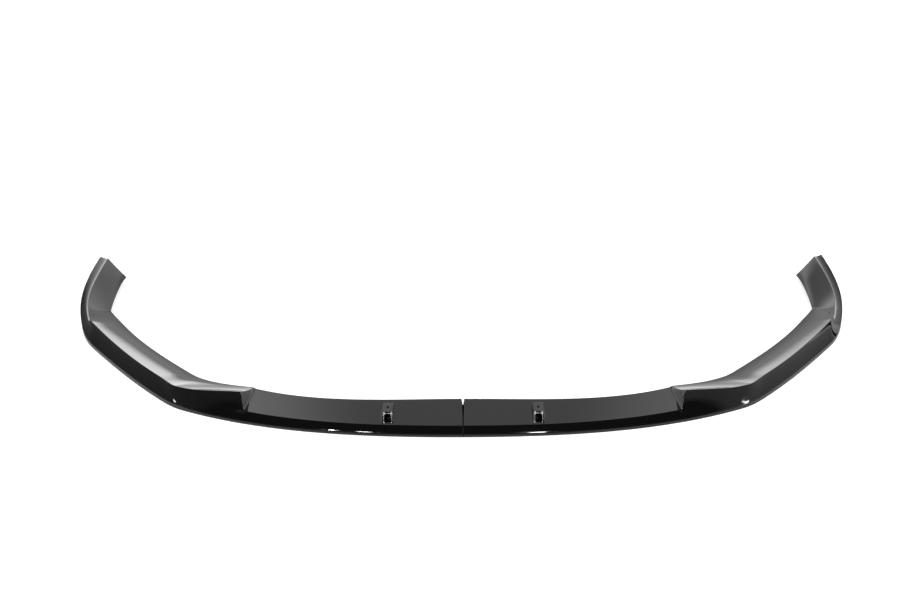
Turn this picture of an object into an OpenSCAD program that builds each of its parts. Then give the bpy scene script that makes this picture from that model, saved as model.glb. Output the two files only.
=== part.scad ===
// Front splitter lip: two moulded halves that butt at the centre line.
// X runs to the right, the nose faces -Y and Z points up. The lip lies on its lower edge at z = 0.

/* [Lower edge, in plan] */
// Half width of the gently curved nose
nose_x = 575; // [520:1:620]
// How far the nose has swept back at its end
nose_sweep = 77; // [60:0.5:95]
// Direction of the lower edge at the end of the nose
nose_turn = 20; // [14:1:26]
// Width of the bend between nose and diagonal
bend_x = 49; // [35:1:70]
// Set-back of the bend between nose and diagonal
bend_y = 28; // [20:0.5:40]
// Direction of the lower edge where the diagonal starts
diagonal_turn_in = 36; // [30:1:42]
// Width of the diagonal
diagonal_x = 185; // [150:1:220]
// Set-back of the diagonal
diagonal_y = 159; // [130:1:190]
// Direction of the lower edge where the diagonal ends
diagonal_turn_out = 44; // [38:1:50]
// Width of the outer corner
corner_x = 38.5; // [24:0.5:46]
// Set-back of the outer corner
corner_y = 55; // [40:1:70]
// Direction of the lower edge behind the outer corner
side_turn = 66.5; // [58:0.5:74]
// Outward flare of the side, from corner to tail
side_x = 36; // [20:1:50]
// Length of the side, from corner to tail
side_y = 270; // [230:0.5:330]
// Direction of the lower edge at the tail
tail_turn = 96; // [88:1:98]

/* [Tray] */
// Height of the flat tray
tray_z = 20; // [14:0.5:26]
// Depth of the tray at the seam
tray_depth = 88; // [75:0.5:100]
// Depth of the tray where it meets the wing
tray_end_depth = 82; // [70:0.5:92]
// Run of the front bevel at the seam
bevel_run = 13.5; // [8:0.5:20]
// Run of the front bevel where it meets the wing
bevel_end_run = 17; // [12:0.5:24]
// Height of the narrow upright band along the lower edge
band_z = 9; // [6:0.5:12]
// Draft of that band
band_draft = 1; // [0.5:0.1:2]

/* [Wing] */
// Distance from the centre to the step where the wing rises
step_x = 444; // [400:1:480]
// Height of the crest on the nose and the diagonal
crest_z = 64; // [52:0.5:76]
// Height of the crest behind the outer corner
crest_side_z = 59; // [46:0.5:70]
// Height of the crest at the tail
crest_tail_z = 44; // [34:0.5:52]
// Lean of the wall at the step
lean_step = 27; // [20:0.5:34]
// Lean of the wall at the end of the nose
lean_nose = 5; // [3:0.5:12]
// Lean of the wall where the diagonal starts
lean_diagonal_in = 10.5; // [5:0.5:16]
// Lean of the wall where the diagonal ends
lean_diagonal_out = 17; // [12:0.5:26]
// Lean of the wall behind the outer corner
lean_side = 25.5; // [16:0.5:34]
// Lean of the wall at the tail
lean_tail = 46.5; // [34:0.5:54]
// How far the crest overhangs the step, towards the wing
crest_step_out = 6; // [3:0.5:10]
// Direction of the crest at the step
crest_step_turn = 6; // [0:1:10]
// Height of the wing's inner edge
inner_z = 20; // [14:0.5:26]
// Depth of the wing at the step
wing_step_depth = 85; // [76:0.5:96]
// Depth of the wing at the end of the nose
wing_nose_depth = 79; // [68:0.5:88]
// Depth of the wing where the diagonal starts
wing_diagonal_in_depth = 80; // [70:0.5:90]
// Depth of the wing where the diagonal ends
wing_diagonal_out_depth = 80.5; // [72:0.5:92]
// Distance of the inner kink from the outer corner, across the car
kink_x = 53; // [40:0.5:64]
// Distance of the inner kink from the outer corner, along the car
kink_y = 50; // [42:0.5:66]
// Depth of the wing at the tail
tail_depth = 97.5; // [84:0.5:108]
// How far the slanted tail cut brings the crest forward
tail_crest_cut = 47.5; // [36:0.5:62]
// How far the slanted tail cut brings the inner edge forward
tail_inner_cut = 80; // [72:0.5:100]
// How far the ramp rolls down towards the tail cut
tail_roll = 4; // [0:0.5:8]
// Width of that roll, along the side
tail_roll_l = 36; // [20:1:60]

/* [Skin] */
// Thickness of the moulded skin
skin = 3; // [2:0.1:4]
// Gap between the halves at the lower edge
seam_gap = 0.3; // [0.2:0.05:0.8]
// Gap between the halves at the rear edge of the tray
seam_gap_rear = 5; // [0.5:0.1:6]
// Thickness of the end wall that closes each half at the seam
end_wall = 3; // [2:0.1:5]

/* [Screw bosses] */
// Distance of each boss from the centre
boss_x = 150; // [110:1:220]
// Height of the boss above the tray
boss_rise = 17; // [12:0.5:24]
// Width of the boss top at its rear
boss_rear_w = 22; // [16:0.5:28]
// Width of the boss top at its front
boss_front_w = 20; // [14:0.5:24]
// Depth of the boss top
boss_top_l = 25; // [20:0.5:32]
// Distance from the bevel's fold to the foot of the boss
boss_foot_y = 2; // [1:0.5:6]
// Run of the sloping front face of the boss
boss_slope = 17; // [8:0.5:24]
// Draft of the boss sides and rear
boss_draft = 2; // [2:0.5:6]
// Diameter of the screw hole
screw_d = 5; // [4:0.5:8]

/* [Pilot holes] */
// Diameter of the pilot holes under the crest
pilot_d = 3; // [2:0.5:4]
// Distance of the pilot hole in the bend from the crest
bend_pilot_inset = 30; // [20:0.5:45]
// Distance of the pilot hole in the corner from the crest
corner_pilot_inset = 10; // [7:0.5:20]

/* [Hidden] */

gloss_black = [0.05, 0.05, 0.055];

// Unit vector along a direction, and the one that points from the lower edge into the lip
function along(turn) = [cos(turn), sin(turn)];
function inward(turn) = [-sin(turn), cos(turn)];

// Point and direction at share f of a cubic curve between two [point, direction] stops
function arm(a, b, pull) = pull * norm(b[0] - a[0]);
function curve(a, b, f, pull) =
    let (p = a[0] + arm(a, b, pull) * along(a[1]), q = b[0] - arm(a, b, pull) * along(b[1]))
    pow(1 - f, 3) * a[0] + 3 * f * pow(1 - f, 2) * p + 3 * f * f * (1 - f) * q + pow(f, 3) * b[0];
function curve_turn(a, b, f, pull) =
    let (d = curve(a, b, min(1, f + 0.01), pull) - curve(a, b, max(0, f - 0.01), pull)) atan2(d[1], d[0]);

// Share of a curve at which it reaches a given x
function share_at_x(a, b, x, pull, low = 0, high = 1, rounds = 24) =
    let (middle = (low + high) / 2)
    rounds == 0 ? middle
    : curve(a, b, middle, pull)[0] < x ? share_at_x(a, b, x, pull, middle, high, rounds - 1)
    : share_at_x(a, b, x, pull, low, middle, rounds - 1);

// The lower edge: seam, nose end, diagonal start, diagonal end, corner end, tail
gentle = 1 / 3;
side_pull = 0.4;
seam = [[0, 0], 0];
nose_end = [[nose_x, nose_sweep], nose_turn];
diagonal_start = [nose_end[0] + [bend_x, bend_y], diagonal_turn_in];
diagonal_end = [diagonal_start[0] + [diagonal_x, diagonal_y], diagonal_turn_out];
corner_end = [diagonal_end[0] + [corner_x, corner_y], side_turn];
tail = [corner_end[0] + [side_x, side_y], tail_turn];
step_share = share_at_x(seam, nose_end, step_x, gentle);
step = [curve(seam, nose_end, step_share, gentle), curve_turn(seam, nose_end, step_share, gentle)];

// A stop moved into the lip by a depth, and back along the edge by a slide
function inset(stop, depth, turn, slide = 0) =
    [stop[0] + depth * inward(stop[1]) - slide * along(stop[1]), turn];

// The crest, from the step to the tail. Behind the diagonal it turns in a little sooner than the lower edge.
crest_lead = 3;
crest_step = inset(step, lean_step, crest_step_turn, -crest_step_out);
crest_nose = inset(nose_end, lean_nose, nose_turn);
crest_diagonal_in = inset(diagonal_start, lean_diagonal_in, diagonal_turn_in);
crest_diagonal_out = inset(diagonal_end, lean_diagonal_out, diagonal_turn_out + crest_lead);
crest_side = inset(corner_end, lean_side, side_turn + crest_lead);
crest_tail = inset(tail, lean_tail, tail_turn - 2 * crest_lead, tail_crest_cut);

// The inner edge: rear of the tray, then the wing, with a sharp kink inside the corner. The wing starts
// a little further out than the tray ends, and its edge is straighter than the lower edge.
inner_step_out = 8;
inner_lead = 5;
kink_lead = [8, 17];
tray_rear = [[0, tray_depth], 0];
tray_rear_end = inset(step, tray_end_depth, step[1] + inner_lead);
inner_step = inset(step, wing_step_depth, step[1] - inner_lead, -inner_step_out);
inner_nose = inset(nose_end, wing_nose_depth, nose_turn + inner_lead);
inner_diagonal_in = inset(diagonal_start, wing_diagonal_in_depth, diagonal_turn_in);
inner_diagonal_out = inset(diagonal_end, wing_diagonal_out_depth, diagonal_turn_out + inner_lead);
kink = corner_end[0] + [-kink_x, kink_y];
kink_in = [kink, diagonal_turn_out + kink_lead[0]];
kink_out = [kink, side_turn + kink_lead[1]];
inner_tail = inset(tail, tail_depth, tail_turn, tail_inner_cut);

// Numbers of points up the wall, across the ramp, and of the whole upper side of a section
bevel_steps = 3;
wall_steps = 4;
ramp_steps = 8;
ramp_power = 1.25;
tray_crowding = 1.3;
bevel_top = 1 + bevel_steps;
crest_point = bevel_top + wall_steps;
last_point = crest_point + ramp_steps;
section_points = last_point + 1;

// Section of the tray: band, bevel, then flat to the rear edge. Points are [x, y, z].
function tray_section(low, fold, rear) = [
    for (k = [0:last_point])
        k == 0 ? [low[0], low[1], 0]
        : k <= bevel_top ? let (f = (k - 1) / bevel_steps, foot = low + band_draft * unit(fold - low))
            concat(foot + f * (fold - foot), band_z + f * (tray_z - band_z))
        : let (f = (k - bevel_top) / (last_point - bevel_top))
            concat(fold + pow(f, tray_crowding) * (rear - fold), tray_z)
];

function unit(v) = v / norm(v);

// Section of the wing: band, hollow wall up to the crest, then a hollow ramp down to the inner edge
function wall_share(z, top, hollow) = 1 - pow(1 - z / top, hollow);
function wing_section(low, crest, inner, top, hollow) = [
    for (k = [0:last_point])
        k == 0 ? [low[0], low[1], 0]
        : k <= crest_point ? let (
            z = k <= bevel_top ? band_z + (k - 1) / bevel_steps * (tray_z - band_z)
                : tray_z + (k - bevel_top) / wall_steps * (top - tray_z),
            foot = low + band_draft * unit(crest - low))
            concat(foot + wall_share(z - band_z, top - band_z, hollow) * (crest - foot), z)
        : let (f = (k - crest_point) / ramp_steps)
            concat(crest + f * (inner - crest), inner_z + (top - inner_z) * pow(1 - f, ramp_power))
];

// The underside: the upper side moved in by the skin, within the section's own upright plane
function flat_dir(v, into) = let (u = [v[0] * into[0] + v[1] * into[1], v[2]]) u / max(norm(u), 0.001);
function underside(section, into, thick, shift) = [
    for (k = [0:last_point])
        k == 0 ? section[0] + concat(thick * into, 0) + shift
        : k == last_point ? section[k] - [0, 0, thick] + shift
        : let (
            a = flat_dir(section[k] - section[k - 1], into),
            b = flat_dir(section[k + 1] - section[k], into),
            sum = [a[1] + b[1], -a[0] - b[0]],
            move = thick * sum / (1 + a * b))
            section[k] + [move[0] * into[0], move[0] * into[1], move[1]] + shift
];

// One station: its upper side followed by its underside in reverse. A section that is not square
// to the edge gets a thicker skin in its own plane, so that the real skin stays the same.
least_square = 0.6;
function station(section, turn, shift = [0, 0, 0]) =
    let (
        low = [section[0][0], section[0][1]],
        inner = [section[last_point][0], section[last_point][1]],
        into = unit(inner - low),
        square = max(least_square, abs(into * inward(turn))),
        under = underside(section, into, skin / square, shift))
    concat(section, [for (k = [last_point:-1:0]) under[k]]);

// The end wall at the seam is a slice that reaches down to the floor, with a little draft inside
end_wall_draft = 0.5;
function filled_station(section) =
    let (low = section[0], rear = section[last_point], run = rear[1] - low[1] - skin)
    concat(section, [for (k = [last_point:-1:0]) [low[0], low[1] + skin + run * k / last_point, 0]]);
function shifted(section, x) = [for (p = section) p + [x, 0, 0]];

// Numbers of stations from the seam to the tail
nose_stations = 16;
wing_nose_stations = 8;
bend_stations = 6;
diagonal_stations = 9;
corner_stations = 10;
side_stations = 18;

function between(a, b, f) = a + f * (b - a);

// The halves butt closely, and their rear corners are cut back to a small open notch
notch_power = 20;
function seam_edge(y) =
    let (f = min(1, max(0, y) / tray_depth)) between(seam_gap, seam_gap_rear, pow(f, notch_power)) / 2;
function from_seam(p) = [max(p[0], seam_edge(p[1])), p[1]];

// The bevel widens only near the step
bevel_widening = 4;
function tray_station(f) =
    let (
        share = f * step_share,
        low = curve(seam, nose_end, share, gentle),
        turn = curve_turn(seam, nose_end, share, gentle),
        rear = curve(tray_rear, tray_rear_end, f, gentle),
        fold = low + between(bevel_run, bevel_end_run, pow(f, bevel_widening)) * unit(rear - low))
    [tray_section(from_seam(low), from_seam(fold), from_seam(rear)), turn];

function wing_station(low_a, low_b, crest_a, crest_b, inner_a, inner_b, tops, hollows, f, share, pulls) =
    [wing_section(
        curve(low_a, low_b, share, pulls[0]),
        curve(crest_a, crest_b, f, pulls[1]),
        curve(inner_a, inner_b, f, pulls[1]),
        between(tops[0], tops[1], f),
        between(hollows[0], hollows[1], f)),
     curve_turn(low_a, low_b, share, pulls[0])];

step_hollow = 2.9;
nose_hollow = 1.6;
side_hollow = 1.3;

function wing_nose(f) = wing_station(seam, nose_end, crest_step, crest_nose, inner_step, inner_nose,
    [crest_z, crest_z], [step_hollow, nose_hollow], f, between(step_share, 1, f), [gentle, gentle]);
function bend(f) = wing_station(nose_end, diagonal_start, crest_nose, crest_diagonal_in,
    inner_nose, inner_diagonal_in, [crest_z, crest_z], [nose_hollow, nose_hollow], f, f, [gentle, gentle]);
function diagonal(f) = wing_station(diagonal_start, diagonal_end, crest_diagonal_in, crest_diagonal_out,
    inner_diagonal_in, inner_diagonal_out, [crest_z, crest_z], [nose_hollow, side_hollow], f, f,
    [gentle, gentle]);

// In the corner the crest and the lower edge sweep round while the inner edge runs to its kink
function corner(f) =
    let (
        low = curve(diagonal_end, corner_end, f, gentle),
        crest = curve(crest_diagonal_out, crest_side, f, gentle),
        inner = curve(inner_diagonal_out, kink_in, f, gentle))
    [wing_section(low, crest, inner, between(crest_z, crest_side_z, f), side_hollow),
     curve_turn(diagonal_end, corner_end, f, gentle)];
function side(f) =
    let (
        low = curve(corner_end, tail, f, side_pull),
        crest = curve(crest_side, crest_tail, f, gentle),
        inner = curve(kink_out, inner_tail, f, gentle),
        near_tail = max(0, 1 - (1 - f) * norm(inner_tail[0] - kink) / tail_roll_l),
        section = wing_section(low, crest, inner, between(crest_side_z, crest_tail_z, f), side_hollow))
    [roll_down(section, tail_roll * near_tail * near_tail), curve_turn(corner_end, tail, f, side_pull)];

// The ramp sinks towards the tail cut, most of all at the inner edge
crest_roll = 0.4;
function roll_down(section, drop) = [
    for (k = [0:last_point])
        k < crest_point ? section[k]
        : section[k] - [0, 0, drop * between(crest_roll, 1, (k - crest_point) / ramp_steps)]
];

// The step: the wing's first section stands on the foot of the tray's last one, so that the front wall
// ends in one straight corner that leans back from the fold to the crest
foot_step = [0.4, 0, 0];
function flat(p) = [p[0], p[1]];
function stand_on(foot, wing) =
    let (base = wing[bevel_top], top = wing[crest_point], start = foot[bevel_top] + foot_step)
    [for (k = [0:last_point])
        k <= bevel_top ? foot[k] + foot_step
        : k < crest_point ? let (f = norm(flat(wing[k] - base)) / norm(flat(top - base)))
            concat(flat(start) + f * flat(top - start), wing[k][2])
        : wing[k]];
tray_end = tray_station(1)[0];
wing_start = stand_on(tray_end, wing_nose(0)[0]);

// The facet of the step rises from the tray in a small hollow: shares of its run and of its rise
fillet_shares = [[0.2, 0.015], [0.35, 0.06]];
function mix(a, b, run, rise) = [
    for (k = [0:last_point])
        concat(between(flat(a[k]), flat(b[k]), run), between(a[k][2], b[k][2], rise))];

// The steep facet gets its thickness by moving the underside outward
facet_skin = 1.2;
facet_shift = [facet_skin * skin, 0, 0];

seam_section = tray_station(0)[0];
stations = concat(
    [for (x = [0, end_wall]) filled_station(shifted(seam_section, x))],
    [station(shifted(seam_section, end_wall + end_wall_draft), seam[1])],
    [for (i = [1:nose_stations]) let (s = tray_station(i / nose_stations)) station(s[0], s[1])],
    [for (f = fillet_shares) station(mix(tray_end, wing_start, f[0], f[1]), step[1], facet_shift * f[0])],
    [station(wing_start, step[1], facet_shift)],
    [for (i = [1:wing_nose_stations]) let (s = wing_nose(i / wing_nose_stations)) station(s[0], s[1])],
    [for (i = [1:bend_stations]) let (s = bend(i / bend_stations)) station(s[0], s[1])],
    [for (i = [1:diagonal_stations]) let (s = diagonal(i / diagonal_stations)) station(s[0], s[1])],
    [for (i = [1:corner_stations]) let (s = corner(i / corner_stations)) station(s[0], s[1])],
    [for (i = [1:side_stations]) let (s = side(i / side_stations)) station(s[0], s[1])]);

ring = 2 * section_points;
last_station = len(stations) - 1;

module shell() {
    polyhedron(
        points = [for (s = stations) for (p = s) p],
        faces = concat(
            [for (j = [0:last_station - 1]) for (k = [0:ring - 1]) let (n = (k + 1) % ring)
                each [[j * ring + k, j * ring + n, (j + 1) * ring + n],
                      [j * ring + k, (j + 1) * ring + n, (j + 1) * ring + k]]],
            [for (k = [0:last_point - 1])
                each [[ring - 1 - k, ring - 2 - k, k + 1], [ring - 1 - k, k + 1, k]]],
            [for (k = [0:last_point - 1]) let (e = last_station * ring)
                each [[e + k, e + k + 1, e + ring - 2 - k], [e + k, e + ring - 2 - k, e + ring - 1 - k]]]),
        convexity = 12);
}

// A screw boss: a block with a sloping front face that starts behind the bevel's fold. A pocket for
// the screw's clip nut opens in that face and leaves a floor, two sides, a rear wall and the top plate.
boss_seat = curve(seam, nose_end, share_at_x(seam, nose_end, boss_x, gentle), gentle);
boss_front_y = boss_seat[1] + bevel_run + boss_foot_y;
boss_top_y = boss_front_y + boss_slope;
boss_hole_y = boss_top_y + boss_top_l / 2;

boss_top = tray_z + boss_rise;

module boss_block() {
    front = boss_front_w / 2;
    rear = boss_rear_w / 2;
    rear_y = boss_top_y + boss_top_l;
    base = tray_z - skin / 2;
    polyhedron(
        points = [
            [-front - boss_draft, boss_front_y, base], [front + boss_draft, boss_front_y, base],
            [rear + boss_draft, rear_y + boss_draft, base], [-rear - boss_draft, rear_y + boss_draft, base],
            [-front, boss_top_y, boss_top], [front, boss_top_y, boss_top],
            [rear, rear_y, boss_top], [-rear, rear_y, boss_top]],
        faces = [[0, 1, 2], [0, 2, 3], [4, 6, 5], [4, 7, 6], [0, 4, 5], [0, 5, 1], [2, 6, 7], [2, 7, 3],
                 [1, 5, 6], [1, 6, 2], [3, 7, 4], [3, 4, 0]]);
}

pocket_floor = 0.5;
pocket_overrun = 1;
module boss_pocket() {
    width = boss_front_w - 2 * skin;
    translate([-width / 2, boss_front_y - pocket_overrun, tray_z + pocket_floor])
        cube([width, pocket_overrun + boss_slope + boss_top_l - skin, boss_rise - skin - pocket_floor]);
}

// Pilot holes lie on the ramp, a set distance in from the crest: one in the bend, one in the corner
function pilot_at(section, distance) =
    let (crest = section[crest_point], inner = section[last_point],
         across = [inner[0] - crest[0], inner[1] - crest[1]])
    [crest[0], crest[1]] + distance * unit(across);
bend_pilot_share = 0.9;
corner_pilot_share = 0.65;
pilots = [
    pilot_at(bend(bend_pilot_share)[0], bend_pilot_inset),
    pilot_at(corner(corner_pilot_share)[0], corner_pilot_inset)];

module half() {
    color(gloss_black)
    difference() {
        union() {
            shell();
            translate([boss_x, 0, 0]) boss_block();
        }
        translate([boss_x, 0, 0]) boss_pocket();
        translate([boss_x, boss_hole_y, boss_top - 2 * skin])
            cylinder(d = screw_d, h = 4 * skin, $fn = 48);
        for (p = pilots)
            translate([p[0], p[1], inner_z])
                cylinder(d = pilot_d, h = crest_z, $fn = 32);
    }
}

middle_y = tail[0][1] / 2;

module right_half() {
    translate([0, -middle_y, 0]) half();
}

module left_half() {
    mirror([1, 0, 0]) right_half();
}

left_half();
right_half();
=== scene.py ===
import math

import bmesh
import bpy
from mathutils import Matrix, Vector


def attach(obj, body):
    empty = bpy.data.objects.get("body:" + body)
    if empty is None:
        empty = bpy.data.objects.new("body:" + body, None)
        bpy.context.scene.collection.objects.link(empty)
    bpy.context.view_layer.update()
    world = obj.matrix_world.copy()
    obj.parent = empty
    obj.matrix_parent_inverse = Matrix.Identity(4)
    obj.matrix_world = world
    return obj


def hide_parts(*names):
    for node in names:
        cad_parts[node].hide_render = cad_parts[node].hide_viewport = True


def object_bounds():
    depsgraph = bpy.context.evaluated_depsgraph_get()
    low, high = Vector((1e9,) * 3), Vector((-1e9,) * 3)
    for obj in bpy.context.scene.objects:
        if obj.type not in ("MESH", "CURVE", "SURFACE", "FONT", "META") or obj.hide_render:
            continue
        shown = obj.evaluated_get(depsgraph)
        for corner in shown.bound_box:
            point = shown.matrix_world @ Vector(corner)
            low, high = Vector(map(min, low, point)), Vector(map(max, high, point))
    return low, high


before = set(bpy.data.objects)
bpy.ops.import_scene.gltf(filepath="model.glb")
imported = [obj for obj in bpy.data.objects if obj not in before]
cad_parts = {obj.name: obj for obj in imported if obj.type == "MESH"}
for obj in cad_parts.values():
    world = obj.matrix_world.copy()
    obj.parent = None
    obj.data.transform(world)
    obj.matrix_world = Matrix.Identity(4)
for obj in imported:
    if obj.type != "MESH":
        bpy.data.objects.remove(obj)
cad_low, cad_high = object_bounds()


# The two halves of the lip. Each is one hollow moulding with a 3 mm skin, black all through and
# polished in the mould. They butt at the centre line, where the bumper holds them side by side.

fold_angle = math.radians(26)
edge_radius = 0.0006
boss_radius = 0.0011
butt_gap = 0.0009
butt_reach = 0.0005
seam_reach = 0.002
boss_reach = 0.014
boss_foot_fold = 0.0212
band_top = 0.009
band_radius = 0.0015
seam_radius = 0.0012
screw_hole_radius = 0.0025
pilot_hole_radius = 0.0015
screw_hole = (0.150, -0.246593)
bend_pilot = (0.596546, -0.159554)
corner_pilot = (0.810204, 0.022606)


def select(mesh, chosen, kind="verts"):
    """Selects, in edit mode, the corners or edges of a mesh for which chosen() is true."""
    bpy.ops.mesh.select_all(action="DESELECT")
    bpy.context.tool_settings.mesh_select_mode = (kind == "verts", kind == "edges", False)
    shape = bmesh.from_edit_mesh(mesh)
    for element in getattr(shape, kind):
        element.select_set(chosen(element))
    shape.select_flush_mode()
    bmesh.update_edit_mesh(mesh)


def close_hole(mesh, x, y, radius):
    """Draws each rim of an upright hole together to one corner and takes that corner away."""
    def off_axis(corner):
        return math.hypot(corner.co.x - x, corner.co.y - y)

    rim = [v.co.z for v in bmesh.from_edit_mesh(mesh).verts if abs(off_axis(v) - radius) < 0.0001]
    middle = sum(rim) / len(rim)
    for upper in (True, False):
        select(mesh, lambda v: abs(off_axis(v) - radius) < 0.0001 and (v.co.z > middle) == upper)
        bpy.ops.mesh.merge(type="CENTER")
    bpy.ops.mesh.select_all(action="SELECT")
    bpy.ops.mesh.dissolve_degenerate(threshold=0.00001)
    bpy.ops.mesh.delete_loose(use_faces=False)
    select(mesh, lambda v: off_axis(v) < radius / 2)
    bpy.ops.mesh.dissolve_verts()
    bpy.ops.mesh.select_mode(type="FACE")
    bpy.ops.mesh.select_all(action="DESELECT")
    bpy.ops.mesh.select_face_by_sides(number=4, type="GREATER", extend=False)
    bpy.ops.mesh.quads_convert_to_tris(ngon_method="BEAUTY")


def cut_hole(half, x, y, radius):
    bpy.ops.object.select_all(action="DESELECT")
    bpy.ops.mesh.primitive_cylinder_add(vertices=32, radius=radius, depth=0.1, location=(x, y, 0.05))
    drill = bpy.context.object
    hole = half.modifiers.new("hole", "BOOLEAN")
    hole.operation = "DIFFERENCE"
    hole.solver = "EXACT"
    hole.object = drill
    bpy.context.view_layer.objects.active = half
    bpy.ops.object.modifier_apply(modifier=hole.name)
    bpy.data.objects.remove(drill)


def moulding(name, node, side, finishes):
    bpy.ops.object.select_all(action="DESELECT")
    half = bpy.data.objects.new(name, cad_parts[node].data.copy())
    bpy.context.scene.collection.objects.link(half)
    half.data.materials.clear()
    for finish in finishes:
        half.data.materials.append(finish)
    half.select_set(True)
    bpy.context.view_layer.objects.active = half
    places = (screw_hole, bend_pilot, corner_pilot)
    radii = (screw_hole_radius, pilot_hole_radius, pilot_hole_radius)
    holes = [(side * x, y, radius) for (x, y), radius in zip(places, radii)]

    # Join the loose triangles into a skin of four-sided faces, with the holes closed for now
    bpy.ops.object.mode_set(mode="EDIT")
    bpy.ops.mesh.select_all(action="SELECT")
    bpy.ops.mesh.remove_doubles(threshold=0.00001)
    for x, y, radius in holes:
        close_hole(half.data, x, y, radius)
    bpy.ops.mesh.select_all(action="SELECT")
    bpy.ops.mesh.tris_convert_to_quads(face_threshold=math.radians(20), shape_threshold=math.radians(80))

    # Close the butt joint up to the notch at its rear
    select(half.data, lambda v: abs(v.co.x) < butt_gap)
    bpy.ops.transform.resize(value=(0.1, 1, 1), center_override=(0, 0, 0))

    # Round the edges of the screw boss, the butt edges, the top of the band, then every other fold
    def middle(edge):
        return (edge.verts[0].co + edge.verts[1].co) / 2

    def folded(edge):
        return edge.calc_face_angle(0) > fold_angle

    def on_boss(edge):
        beside = abs(abs(middle(edge).x) - screw_hole[0])
        return folded(edge) and beside < boss_reach and middle(edge).z > boss_foot_fold

    def on_seam(edge):
        return folded(edge) and abs(middle(edge).x) < seam_reach and middle(edge).z > 0.003

    def on_band(edge):
        outer_faces = [f for f in edge.link_faces if abs(f.normal.z) < 0.3 and f.normal.y < 0]
        at = middle(edge)
        return folded(edge) and bool(outer_faces) and abs(at.z - band_top) < 0.0002 and abs(at.x) > seam_reach

    def other_fold(edge):
        return folded(edge) and edge.calc_length() > 0.0002

    for chosen, radius in ((on_boss, boss_radius), (on_seam, seam_radius),
                           (on_band, band_radius), (other_fold, edge_radius)):
        select(half.data, chosen, "edges")
        bpy.ops.mesh.bevel(offset=radius, segments=2, affect="EDGES", clamp_overlap=False)
    bpy.ops.object.mode_set(mode="OBJECT")

    smooth = half.modifiers.new("smooth skin", "SUBSURF")
    smooth.levels = 2
    smooth.render_levels = 2
    bpy.ops.object.modifier_apply(modifier=smooth.name)

    # Draw the butt faces level again, and cut the holes into the smooth skin
    bpy.ops.object.mode_set(mode="EDIT")
    select(half.data, lambda v: abs(v.co.x) < butt_reach)
    bpy.ops.transform.resize(value=(0.02, 1, 1), center_override=(0, 0, 0))
    bpy.ops.object.mode_set(mode="OBJECT")
    for x, y, radius in holes:
        cut_hole(half, x, y, radius)

    half.select_set(True)
    bpy.ops.object.shade_smooth_by_angle(angle=math.radians(50))
    level = half.modifiers.new("level flats", "WEIGHTED_NORMAL")
    level.keep_sharp = True
    bpy.ops.object.modifier_apply(modifier=level.name)
    return half


class Wire:
    """A value or vector on its way through the nodes of a material or of the world."""

    def __init__(self, tree, socket):
        self.tree = tree
        self.socket = socket

    def node(self, kind, settings=None, values=None, out=0):
        made = self.tree.nodes.new(kind)
        for key, setting in (settings or {}).items():
            setattr(made, key, setting)
        for key, value in (values or {}).items():
            if isinstance(value, Wire):
                self.tree.links.new(value.socket, made.inputs[key])
            else:
                made.inputs[key].default_value = value
        return Wire(self.tree, made.outputs[out])

    def maths(self, operation, first, second):
        return self.node("ShaderNodeMath", {"operation": operation}, {0: first, 1: second})

    def __add__(self, other):
        return self.maths("ADD", self, other)

    def __radd__(self, other):
        return self.maths("ADD", other, self)

    def __sub__(self, other):
        return self.maths("SUBTRACT", self, other)

    def __rsub__(self, other):
        return self.maths("SUBTRACT", other, self)

    def __mul__(self, other):
        return self.maths("MULTIPLY", self, other)

    def __rmul__(self, other):
        return self.maths("MULTIPLY", other, self)


def gloss_black_plastic():
    material = bpy.data.materials.new("gloss black plastic")
    material.use_nodes = True
    tree = material.node_tree
    shader = tree.nodes["Principled BSDF"]
    place = Wire(tree, tree.nodes.new("ShaderNodeTexCoord").outputs["Object"])

    def noise(scale, detail):
        return place.node("ShaderNodeTexNoise", {}, {"Vector": place, "Scale": scale, "Detail": detail})

    flow = noise(9, 2)
    haze = noise(60, 3)
    peel = noise(420, 1)
    shader.inputs["Base Color"].default_value = (0.002, 0.002, 0.0021, 1)
    tree.links.new((0.03 + flow * 0.02 + haze * 0.02).socket, shader.inputs["Roughness"])
    relief = flow * 0.2 + peel * 0.0006
    waves = place.node("ShaderNodeBump", {}, {"Strength": 0.25, "Distance": 0.001, "Height": relief})
    tree.links.new(waves.socket, shader.inputs["Normal"])
    shader.inputs["IOR"].default_value = 1.5
    return material


# Matt near-black that mirrors almost nothing, used as painted shade: it keeps the seam faces dark like a deep
# shaded gap, and takes a glint off the foot of the step.
def painted_shade_plastic():
    material = bpy.data.materials.new("painted shade black")
    material.use_nodes = True
    tree = material.node_tree
    shader = tree.nodes["Principled BSDF"]
    place = Wire(tree, tree.nodes.new("ShaderNodeTexCoord").outputs["Object"])
    grain = place.node("ShaderNodeTexNoise", {}, {"Vector": place, "Scale": 900, "Detail": 2})
    shader.inputs["Base Color"].default_value = (0.004, 0.004, 0.004, 1)
    shader.inputs["Specular IOR Level"].default_value = 0.1
    tree.links.new((0.75 + grain * 0.2).socket, shader.inputs["Roughness"])
    return material


def matt_plastic(name, shade, roughness):
    material = bpy.data.materials.new(name)
    material.use_nodes = True
    tree = material.node_tree
    shader = tree.nodes["Principled BSDF"]
    place = Wire(tree, tree.nodes.new("ShaderNodeTexCoord").outputs["Object"])
    grain = place.node("ShaderNodeTexNoise", {}, {"Vector": place, "Scale": 700, "Detail": 2})
    shader.inputs["Base Color"].default_value = (shade, shade, shade, 1)
    tree.links.new((roughness - 0.1 + grain * 0.2).socket, shader.inputs["Roughness"])
    return material


# The pale matt rim round each boss pocket is a painted highlight, in place of the glint a rounded edge would
# catch.
rim_width = 0.0008
mouth_half_width = 0.007
mouth_top = 0.034
boss_front = -0.276093
boss_foot = 0.020
boss_top = 0.037


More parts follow.
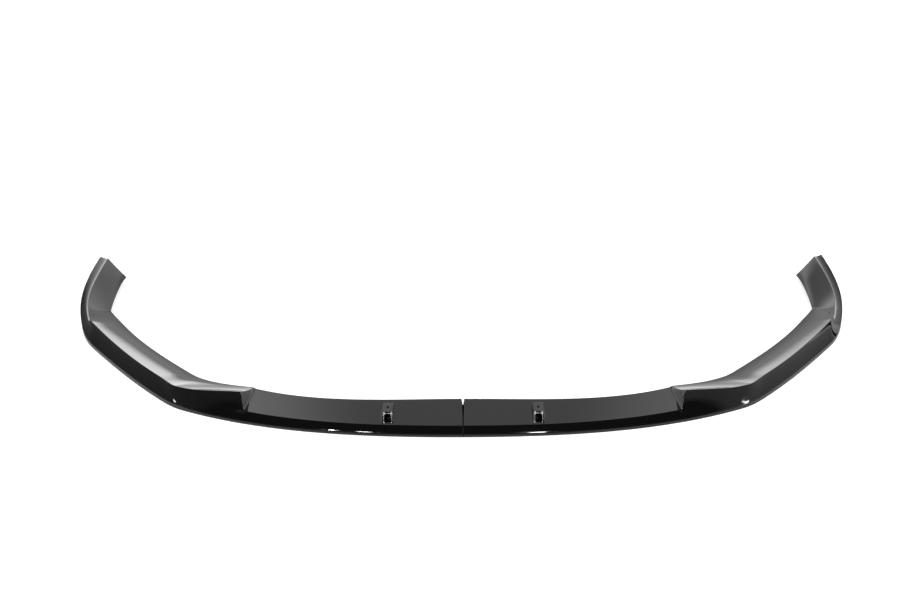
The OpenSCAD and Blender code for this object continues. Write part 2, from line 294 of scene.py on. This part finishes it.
def on_mouth_rim(centre):
    """Whether a point lies on the rounded rim of the pocket in the sloping face of the boss."""
    side = abs(abs(centre.x) - screw_hole[0])
    off_slope = (centre.y - boss_front) - (centre.z - boss_foot)
    at_side = abs(side - mouth_half_width) < rim_width
    at_top = side < mouth_half_width and abs(centre.z - mouth_top) < rim_width
    return abs(off_slope) < 1.6 * rim_width and centre.z > boss_foot + rim_width and (at_side or at_top)

plate_half_width = 0.012
butt_shoulder = 0.0016
butt_depth = 0.0045
step_foot = ((0.438, 0.4525), (-0.2425, -0.236), (0.0175, 0.0225))
step_facet = ((0.424, 0.4445), (-0.2395, -0.171), (0.0203, 0.064))


def within(place, zone):
    return all(low < value < high for value, (low, high) in zip(place, zone))


# Besides the gloss, the finishes hold painted light: painted shade at the seam and step foot, a painted
# highlight on the pocket rims, and a painted reflection on the step facet.
finishes = [gloss_black_plastic(), painted_shade_plastic(), matt_plastic("painted highlight rim", 0.42, 0.4),
            matt_plastic("painted sheen step", 0.06, 0.4), matt_plastic("boss plate", 0.012, 0.35)]
painted_shade, painted_highlight_rim, painted_sheen_step, boss_plate = range(1, 5)
left = moulding("left_moulding", "left_half", -1, finishes)
right = moulding("right_moulding", "right_half", 1, finishes)
halves = (left, right)
for half, node in zip(halves, ("left_half", "right_half")):
    for face in half.data.polygons:
        x, y, z = face.center
        inward = -face.normal.x * math.copysign(1, x)
        on_butt_face = abs(x) < butt_depth and abs(face.normal.x) > 0.6
        on_plate = z > boss_top - 0.0004 and abs(abs(x) - screw_hole[0]) < plate_half_width
        # Painted shade on the butt faces and edges at the seam and on the foot of the step
        if on_butt_face or abs(x) < butt_shoulder or within((-x, y, z), step_foot):
            face.material_index = painted_shade
        elif on_plate and face.normal.z > 0.9 and y < -0.2:
            face.material_index = boss_plate
        # Painted highlight on the rounded rim of each boss pocket
        elif on_mouth_rim(face.center):
            face.material_index = painted_highlight_rim
        # Painted reflection: the step facet is a paler matt grey in place of the bright surroundings it would
        # mirror
        elif within((abs(x), y, z), step_facet) and inward > 0.5:
            face.material_index = painted_sheen_step
    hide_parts(node)
    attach(half, "root")


# The floor is a plain, matt, pale sheet, with an even pale backdrop all round.


def plain(name, colour, glow=0.0):
    paint = bpy.data.materials.new(name)
    paint.use_nodes = True
    shader = paint.node_tree.nodes["Principled BSDF"]
    shader.inputs["Base Color"].default_value = (colour, colour, colour, 1)
    shader.inputs["Roughness"].default_value = 1
    shader.inputs["Specular IOR Level"].default_value = 0
    if glow:
        shader.inputs["Emission Color"].default_value = (1, 1, 1, 1)
        shader.inputs["Emission Strength"].default_value = glow
    return paint


bpy.ops.object.select_all(action="DESELECT")
floor_radius = 30
bpy.ops.mesh.primitive_circle_add(
    vertices=96, radius=floor_radius, fill_type="NGON", location=(0, 0, -0.0008))
floor = bpy.context.object
floor.name = "floor"
floor.data.materials.append(plain("pale paper", 0.6, 0.62))
floor.visible_glossy = False

bpy.ops.mesh.primitive_uv_sphere_add(segments=48, ring_count=24, radius=floor_radius - 1, location=(0, 0, 0))
backdrop = bpy.context.object
backdrop.name = "backdrop"
backdrop.data.materials.append(plain("pale backdrop", 0, 0.98))
for ray in ("glossy", "diffuse", "transmission", "volume_scatter", "shadow"):
    setattr(backdrop, "visible_" + ray, False)

# A white strip under the lower edge is only mirrored
sector = math.radians(4)
farthest = {}
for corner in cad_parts["right_half"].data.vertices:
    x, y, z = corner.co
    key = round(math.atan2(x, -y) / sector)
    if z < 0.00001 and math.hypot(x, y) > math.hypot(*farthest.get(key, (0, 0))):
        farthest[key] = (x, y)
front_edge = [farthest[key] for key in sorted(farthest)]


def edge_moved(outward):
    half_edge = [(x + outward * x / cad_high[0], y - outward) for x, y in front_edge]
    return [(-x, y) for x, y in reversed(half_edge[1:])] + half_edge


sheet_margin = 0.011
under_edge = -0.035
strip_outline = edge_moved(sheet_margin) + edge_moved(under_edge)[::-1]
bpy.ops.object.select_all(action="DESELECT")
bpy.ops.mesh.primitive_plane_add(size=1, location=(0, 0, 0))
sheet = bpy.context.object
sheet.name = "white_strip"
sheet.data.clear_geometry()
sheet.data.from_pydata([(x, y, -0.0004) for x, y in strip_outline], [], [list(range(len(strip_outline)))])
sheet.data.materials.append(plain("white strip", 0, 0.9))
for ray in ("camera", "diffuse", "transmission", "volume_scatter", "shadow"):
    setattr(sheet, "visible_" + ray, False)


# Soft studio light: a bright sweep behind the lip, a dark room in front of it, and a few soft panels.

world = bpy.data.worlds.new("studio")
world.use_nodes = True
air = world.node_tree
way = Wire(air, air.nodes.new("ShaderNodeTexCoord").outputs["Generated"])
across, back, up = (way.node("ShaderNodeSeparateXYZ", {}, {"Vector": way}, out) for out in (0, 1, 2))


def rise(value, low, high):
    ends = {"Value": value, "From Min": low, "From Max": high}
    return value.node("ShaderNodeMapRange", {"interpolation_type": "SMOOTHSTEP"}, ends)


bearing = way.maths("ARCTAN2", across, back)


def arc(start, end, turn=1):
    return rise(bearing * turn, math.radians(start), math.radians(end))


sweep = 1.0 + (arc(7, 19, -1) - arc(19, 27, -1)) * 1.5 + arc(27, 40, -1) * 0.2
sweep = sweep + (arc(9, 19) - arc(24, 36) * 0.6) * 0.85
rightward = rise(across, -0.1, 0.05)

# Low in front: dim, with a pale stretch and a dark stripe that the right corner mirrors, and two glints
front = 0.13 + rise(across, -0.3, 0.5) * 0.22
front = front + (0.03 - front) * rise(up, -0.45, 0.05)
pale = arc(55, 60) - arc(75, 76)
stripe = arc(68.5, 69.5) - arc(73, 74)
dash = rise(up, -0.559, -0.556) - rise(up, -0.549, -0.546)
glints = dash * ((arc(107, 109, -1) - arc(112, 114, -1)) + (arc(113, 115) - arc(124, 127)))
front = (front + pale * 0.35) * (1 - stripe) + glints * 20

# Low behind: an even floor, with a bright pool far off that the ramps mirror along their crests
back_only = (1 - arc(25, 42)) * (1 - arc(30, 48, -1))
floor_level = 1.4 - rise(up, -0.45, -0.2) * 0.35
low_floor = front + (floor_level - front) * back_only
ahead = (1 - arc(8, 12)) * (1 - arc(8, 12, -1))
pool_top = -0.04 - rightward * 0.03
pool = ahead * rise(up, -0.55, -0.20) * (1 - rise(up - pool_top, -0.10, 0))
veil = (1 - arc(8, 11, -1)) * (1 - rightward) * (1 - rise(up, 0.25, 0.45)) * 0.3

room = sweep * (1 + veil)
room = room + (front - room) * (arc(55, 105) + arc(55, 105, -1))
room = low_floor + (room - low_floor) * rise(up, -0.06, 0.06) + pool * (2.3 - rightward * 0.9)
dome = rise(up, 0.93, 0.99)
upper = room + (0.7 - room) * dome
air.links.new(upper.socket, air.nodes["Background"].inputs["Strength"])
air.nodes["Background"].inputs["Color"].default_value = (1, 1, 1, 1)
bpy.context.scene.world = world


def panel(name, at, towards, width, height, radiance, mirrored=True):
    lamp = bpy.data.lights.new(name, "AREA")
    lamp.shape = "RECTANGLE"
    lamp.size = width
    lamp.size_y = height
    lamp.energy = radiance * math.pi * width * height
    stand = bpy.data.objects.new(name, lamp)
    stand.location = at
    stand.rotation_euler = (Vector(towards) - Vector(at)).to_track_quat("-Z", "Y").to_euler()
    stand.visible_camera = False
    stand.visible_glossy = mirrored
    bpy.context.scene.collection.objects.link(stand)


panel("overhead", (0, 0, 4), (0, 0, 0), 5, 5, 1.8, mirrored=False)
panel("lamp_left", (-0.76, -2.73, 1.5), (-0.2, -0.28, 0), 0.11, 0.4, 120)
panel("lamp_far_left", (-1.04, -2.6, 1.5), (-0.2, -0.28, 0), 0.05, 0.3, 350)
panel("lamp_right", (0.58, -2.75, 1.5), (0.2, -0.28, 0), 0.14, 0.3, 220)
panel("strip_left", (-2.4, -0.9, 0.7), (-0.2, -0.28, 0), 0.10, 0.9, 70)
panel("strip_right", (2.4, -0.9, 0.7), (0.2, -0.28, 0), 0.10, 0.9, 70)

bpy.context.scene.view_settings.view_transform = "Standard"


# The camera looks down on the nose from in front.

eye = bpy.data.cameras.new("camera")
eye.lens = 37.17
eye.sensor_width = 36
camera = bpy.data.objects.new("camera", eye)
camera.location = (-0.01259, -1.56892, 1.40811)
camera.rotation_euler = (math.radians(50), 0, math.radians(-0.28))
bpy.context.scene.collection.objects.link(camera)
bpy.context.scene.camera = camera
